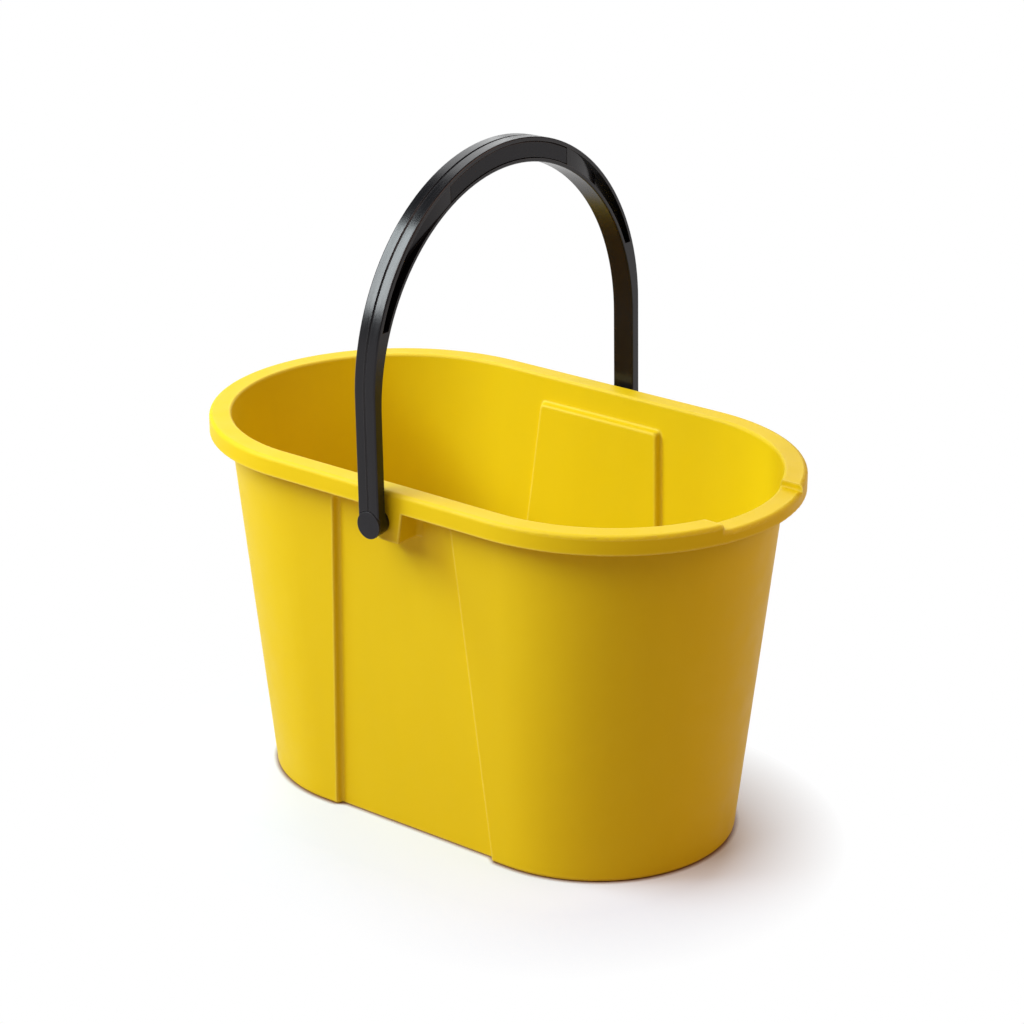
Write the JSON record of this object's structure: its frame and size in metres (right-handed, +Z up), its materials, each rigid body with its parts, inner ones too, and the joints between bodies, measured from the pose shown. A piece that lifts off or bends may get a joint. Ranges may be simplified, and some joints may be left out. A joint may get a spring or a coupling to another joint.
{
  "type": "mop bucket",
  "caption": "Oval plastic mop bucket with a down-turned rim, a lowered pouring lip, sunk side panels and a deep-crowned strap handle that swings on snap-in pins.",
  "frame": {"origin": "on the floor, under the middle of the tub", "axes": "+Z up, +X towards the end with the lowered lip, and the handle's ears on -Y and +Y"},
  "size_m": [0.4237, 0.2728, 0.4463],
  "materials": {
    "yellow_plastic": "satin",
    "black_plastic": "satin",
    "black_insert": "satin",
    "black_pin": "satin"
  },
  "bodies": {
    "bucket": {"bucket_body": "yellow_plastic", "pivot_pin_near": "black_pin", "pivot_pin_far": "black_pin"},
    "bail": {"bail_handle": "black_plastic", "grip_insert_front": "black_insert", "grip_insert_rear": "black_insert"}
  },
  "joints": [
    {"name": "bail_swing", "type": "hinge", "parent": "bucket", "child": "bail", "pos_m": [0.0039, 0, 0.2304], "axis": [0, 1, 0], "range_deg": [-74, 77.5]}
  ]
}
